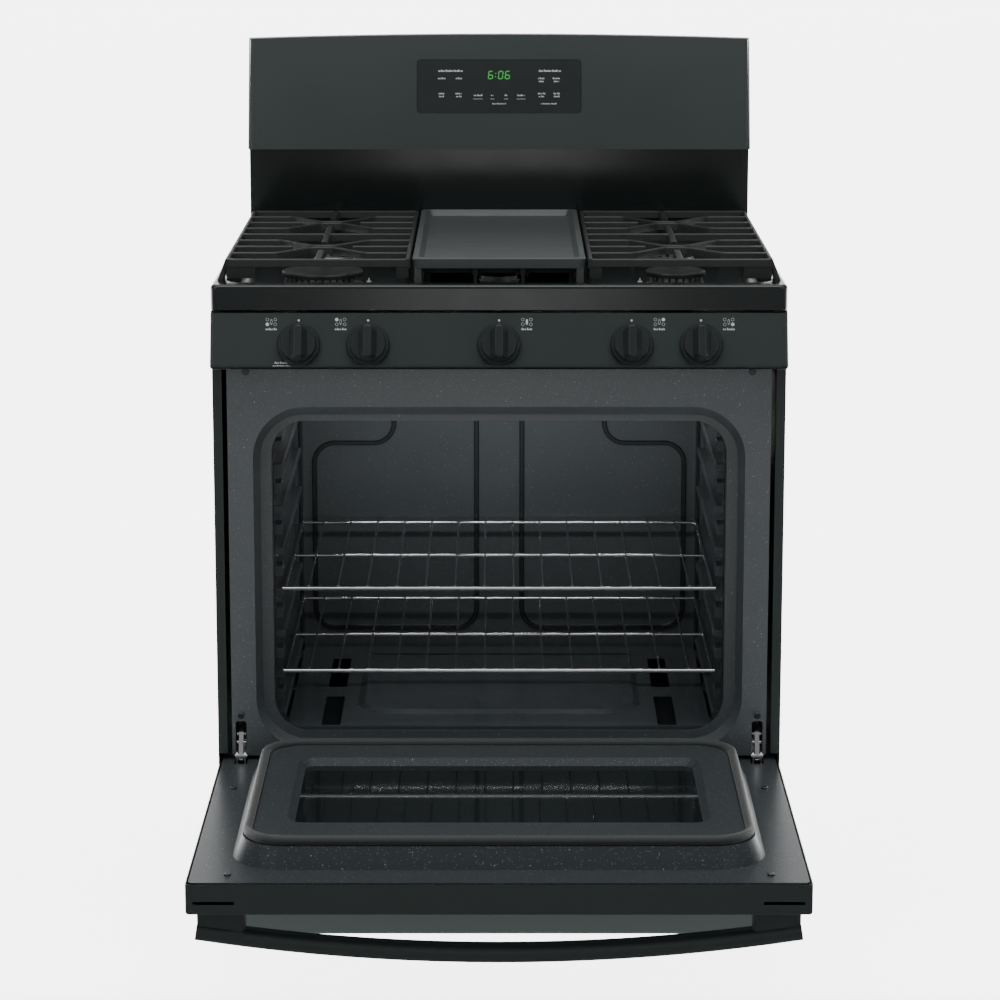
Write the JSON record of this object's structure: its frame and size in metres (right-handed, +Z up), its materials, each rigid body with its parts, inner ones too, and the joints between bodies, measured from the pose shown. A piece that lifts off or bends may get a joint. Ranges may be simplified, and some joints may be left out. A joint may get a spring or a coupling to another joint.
{
  "type": "freestanding gas range",
  "caption": "Freestanding gas range with grates and griddle over round and oval burners, front knobs, drop-down oven door, sliding racks, storage drawer and raised control backguard.",
  "frame": {"origin": "on the floor, midway between the four feet", "axes": "+X to the right seen from the front, +Y from front to back, +Z up"},
  "size_m": [0.759, 1.146, 1.2],
  "materials": {
    "slate_paint": "satin dark slate paint",
    "slate_gloss": "glossy dark slate enamel",
    "galvanized_steel": "zinc coated sheet",
    "leg_plastic": "moulded black",
    "speckled_enamel": "blue-grey enamel with fine pale specks",
    "cavity_enamel": "glossy dark enamel with fine pale specks",
    "cooktop_enamel": "glossy dark enamel",
    "cap_enamel": "matt black enamel",
    "dark_screw": "dark zinc",
    "glass_wool": "pale yellow glass wool",
    "burner_steel": "aluminised steel",
    "lamp_glass": "clear ribbed glass",
    "hinge_steel": "zinc plated",
    "gasket_braid": "grey glass braid",
    "window_glass": "dark tinted glass",
    "chrome_wire": "bright plated wire",
    "burner_aluminium": "cast",
    "electrode_ceramic": "white glazed",
    "pipe_steel": "plated pipe",
    "valve_brass": "machined",
    "grate_iron": "matt black enamel on cast iron",
    "griddle_iron": "satin dark grey coating on cast iron",
    "control_glass": "smooth dark touch panel",
    "circuit_board": "green circuit board",
    "gland_rubber": "black bushing",
    "knob_plastic": "satin near-black"
  },
  "bodies": {
    "root": {"side_panel_left": "slate_paint", "side_panel_right": "slate_paint", "rear_cover": "galvanized_steel", "base_frame": "galvanized_steel", "leveling_legs": "leg_plastic", "oven_front_frame": "speckled_enamel", "frame_screws": "dark_screw", "oven_cavity": "cavity_enamel", "oven_floor_panel": "cavity_enamel", "cavity_insulation": "glass_wool", "oven_burners": "burner_steel", "oven_light": "lamp_glass", "hinge_arms": "hinge_steel", "hinge_receivers": "galvanized_steel", "cooktop": "cooktop_enamel", "burner_bases": "burner_aluminium", "spark_electrodes": "electrode_ceramic", "gas_manifold": "pipe_steel", "pressure_regulator": "burner_aluminium", "burner_valves": "valve_brass", "burner_supply_tubes": "burner_aluminium", "control_panel": "slate_paint", "backsplash_panel": "slate_gloss", "backguard_console": "slate_paint", "control_glass": "control_glass", "control_board": "circuit_board", "backguard_rear_cover": "galvanized_steel", "cord_gland": "gland_rubber", "drawer_rails": "galvanized_steel"},
    "door": {"door_outer_panel": "slate_paint", "door_liner": "speckled_enamel", "door_gasket": "gasket_braid", "door_inner_glass": "window_glass", "door_outer_glass": "window_glass", "door_handle": "slate_paint", "door_hinges": "hinge_steel", "door_screws": "dark_screw"},
    "drawer": {"drawer_front": "slate_paint", "drawer_box": "galvanized_steel"},
    "rack_upper": {"rack_upper": "chrome_wire"},
    "rack_lower": {"rack_lower": "chrome_wire"},
    "grate_left": {"grate_left": "grate_iron"},
    "grate_right": {"grate_right": "grate_iron"},
    "grate_center": {"grate_center": "grate_iron"},
    "griddle": {"griddle": "griddle_iron"},
    "burner_cap_left_front": {"burner_cap_left_front": "cap_enamel"},
    "burner_cap_left_rear": {"burner_cap_left_rear": "cap_enamel"},
    "burner_cap_right_rear": {"burner_cap_right_rear": "cap_enamel"},
    "burner_cap_right_front": {"burner_cap_right_front": "cap_enamel"},
    "burner_cap_center": {"burner_cap_center": "cap_enamel"},
    "valve_stem_left_front": {"valve_stem_left_front": "hinge_steel"},
    "knob_left_front": {"knob_left_front": "knob_plastic"},
    "valve_stem_left_rear": {"valve_stem_left_rear": "hinge_steel"},
    "knob_left_rear": {"knob_left_rear": "knob_plastic"},
    "valve_stem_center": {"valve_stem_center": "hinge_steel"},
    "knob_center": {"knob_center": "knob_plastic"},
    "valve_stem_right_rear": {"valve_stem_right_rear": "hinge_steel"},
    "knob_right_rear": {"knob_right_rear": "knob_plastic"},
    "valve_stem_right_front": {"valve_stem_right_front": "hinge_steel"},
    "knob_right_front": {"knob_right_front": "knob_plastic"}
  },
  "joints": [
    {"name": "door_hinge", "type": "hinge", "parent": "root", "child": "door", "pos_m": [0, -0.3095, 0.2725], "axis": [1, 0, 0], "range_deg": [-90, 0]},
    {"name": "drawer_slide", "type": "slide", "parent": "root", "child": "drawer", "axis": [0, -1, 0], "range_m": [0, 0.39]},
    {"name": "rack_upper_slide", "type": "slide", "parent": "root", "child": "rack_upper", "axis": [0, -1, 0], "range_m": [0, 0.3]},
    {"name": "rack_lower_slide", "type": "slide", "parent": "root", "child": "rack_lower", "axis": [0, -1, 0], "range_m": [0, 0.3]},
    {"name": "grate_left_lift", "type": "slide", "parent": "root", "child": "grate_left", "axis": [0, 0, 1], "range_m": [0, 0.06]},
    {"name": "grate_right_lift", "type": "slide", "parent": "root", "child": "grate_right", "axis": [0, 0, 1], "range_m": [0, 0.06]},
    {"name": "grate_center_lift", "type": "slide", "parent": "root", "child": "grate_center", "axis": [0, 0, 1], "range_m": [0, 0.06]},
    {"name": "griddle_lift", "type": "slide", "parent": "grate_center", "child": "griddle", "axis": [0, 0, 1], "range_m": [0, 0.025]},
    {"name": "burner_cap_left_front_lift", "type": "slide", "parent": "root", "child": "burner_cap_left_front", "axis": [0, 0, 1], "range_m": [0, 0.012]},
    {"name": "burner_cap_left_rear_lift", "type": "slide", "parent": "root", "child": "burner_cap_left_rear", "axis": [0, 0, 1], "range_m": [0, 0.012]},
    {"name": "burner_cap_right_rear_lift", "type": "slide", "parent": "root", "child": "burner_cap_right_rear", "axis": [0, 0, 1], "range_m": [0, 0.012]},
    {"name": "burner_cap_right_front_lift", "type": "slide", "parent": "root", "child": "burner_cap_right_front", "axis": [0, 0, 1], "range_m": [0, 0.012]},
    {"name": "burner_cap_center_lift", "type": "slide", "parent": "root", "child": "burner_cap_center", "axis": [0, 0, 1], "range_m": [0, 0.008]},
    {"name": "knob_left_front_push", "type": "slide", "parent": "root", "child": "valve_stem_left_front", "axis": [0, 0.9354, -0.3537], "range_m": [0, 0.003], "stiffness_N_per_m": 800, "springref_m": -0.002},
    {"name": "knob_left_front_turn", "type": "hinge", "parent": "valve_stem_left_front", "child": "knob_left_front", "pos_m": [-0.263, -0.34047, 0.84157], "axis": [0, -0.9354, 0.3537], "range_deg": [0, 210]},
    {"name": "knob_left_rear_push", "type": "slide", "parent": "root", "child": "valve_stem_left_rear", "axis": [0, 0.9354, -0.3537], "range_m": [0, 0.003], "stiffness_N_per_m": 800, "springref_m": -0.002},
    {"name": "knob_left_rear_turn", "type": "hinge", "parent": "valve_stem_left_rear", "child": "knob_left_rear", "pos_m": [-0.172, -0.34047, 0.84157], "axis": [0, -0.9354, 0.3537], "range_deg": [0, 210]},
    {"name": "knob_center_push", "type": "slide", "parent": "root", "child": "valve_stem_center", "axis": [0, 0.9354, -0.3537], "range_m": [0, 0.003], "stiffness_N_per_m": 800, "springref_m": -0.002},
    {"name": "knob_center_turn", "type": "hinge", "parent": "valve_stem_center", "child": "knob_center", "pos_m": [0, -0.34047, 0.84157], "axis": [0, -0.9354, 0.3537], "range_deg": [0, 210]},
    {"name": "knob_right_rear_push", "type": "slide", "parent": "root", "child": "valve_stem_right_rear", "axis": [0, 0.9354, -0.3537], "range_m": [0, 0.003], "stiffness_N_per_m": 800, "springref_m": -0.002},
    {"name": "knob_right_rear_turn", "type": "hinge", "parent": "valve_stem_right_rear", "child": "knob_right_rear", "pos_m": [0.174, -0.34047, 0.84157], "axis": [0, -0.9354, 0.3537], "range_deg": [0, 210]},
    {"name": "knob_right_front_push", "type": "slide", "parent": "root", "child": "valve_stem_right_front", "axis": [0, 0.9354, -0.3537], "range_m": [0, 0.003], "stiffness_N_per_m": 800, "springref_m": -0.002},
    {"name": "knob_right_front_turn", "type": "hinge", "parent": "valve_stem_right_front", "child": "knob_right_front", "pos_m": [0.265, -0.34047, 0.84157], "axis": [0, -0.9354, 0.3537], "range_deg": [0, 210]}
  ]
}
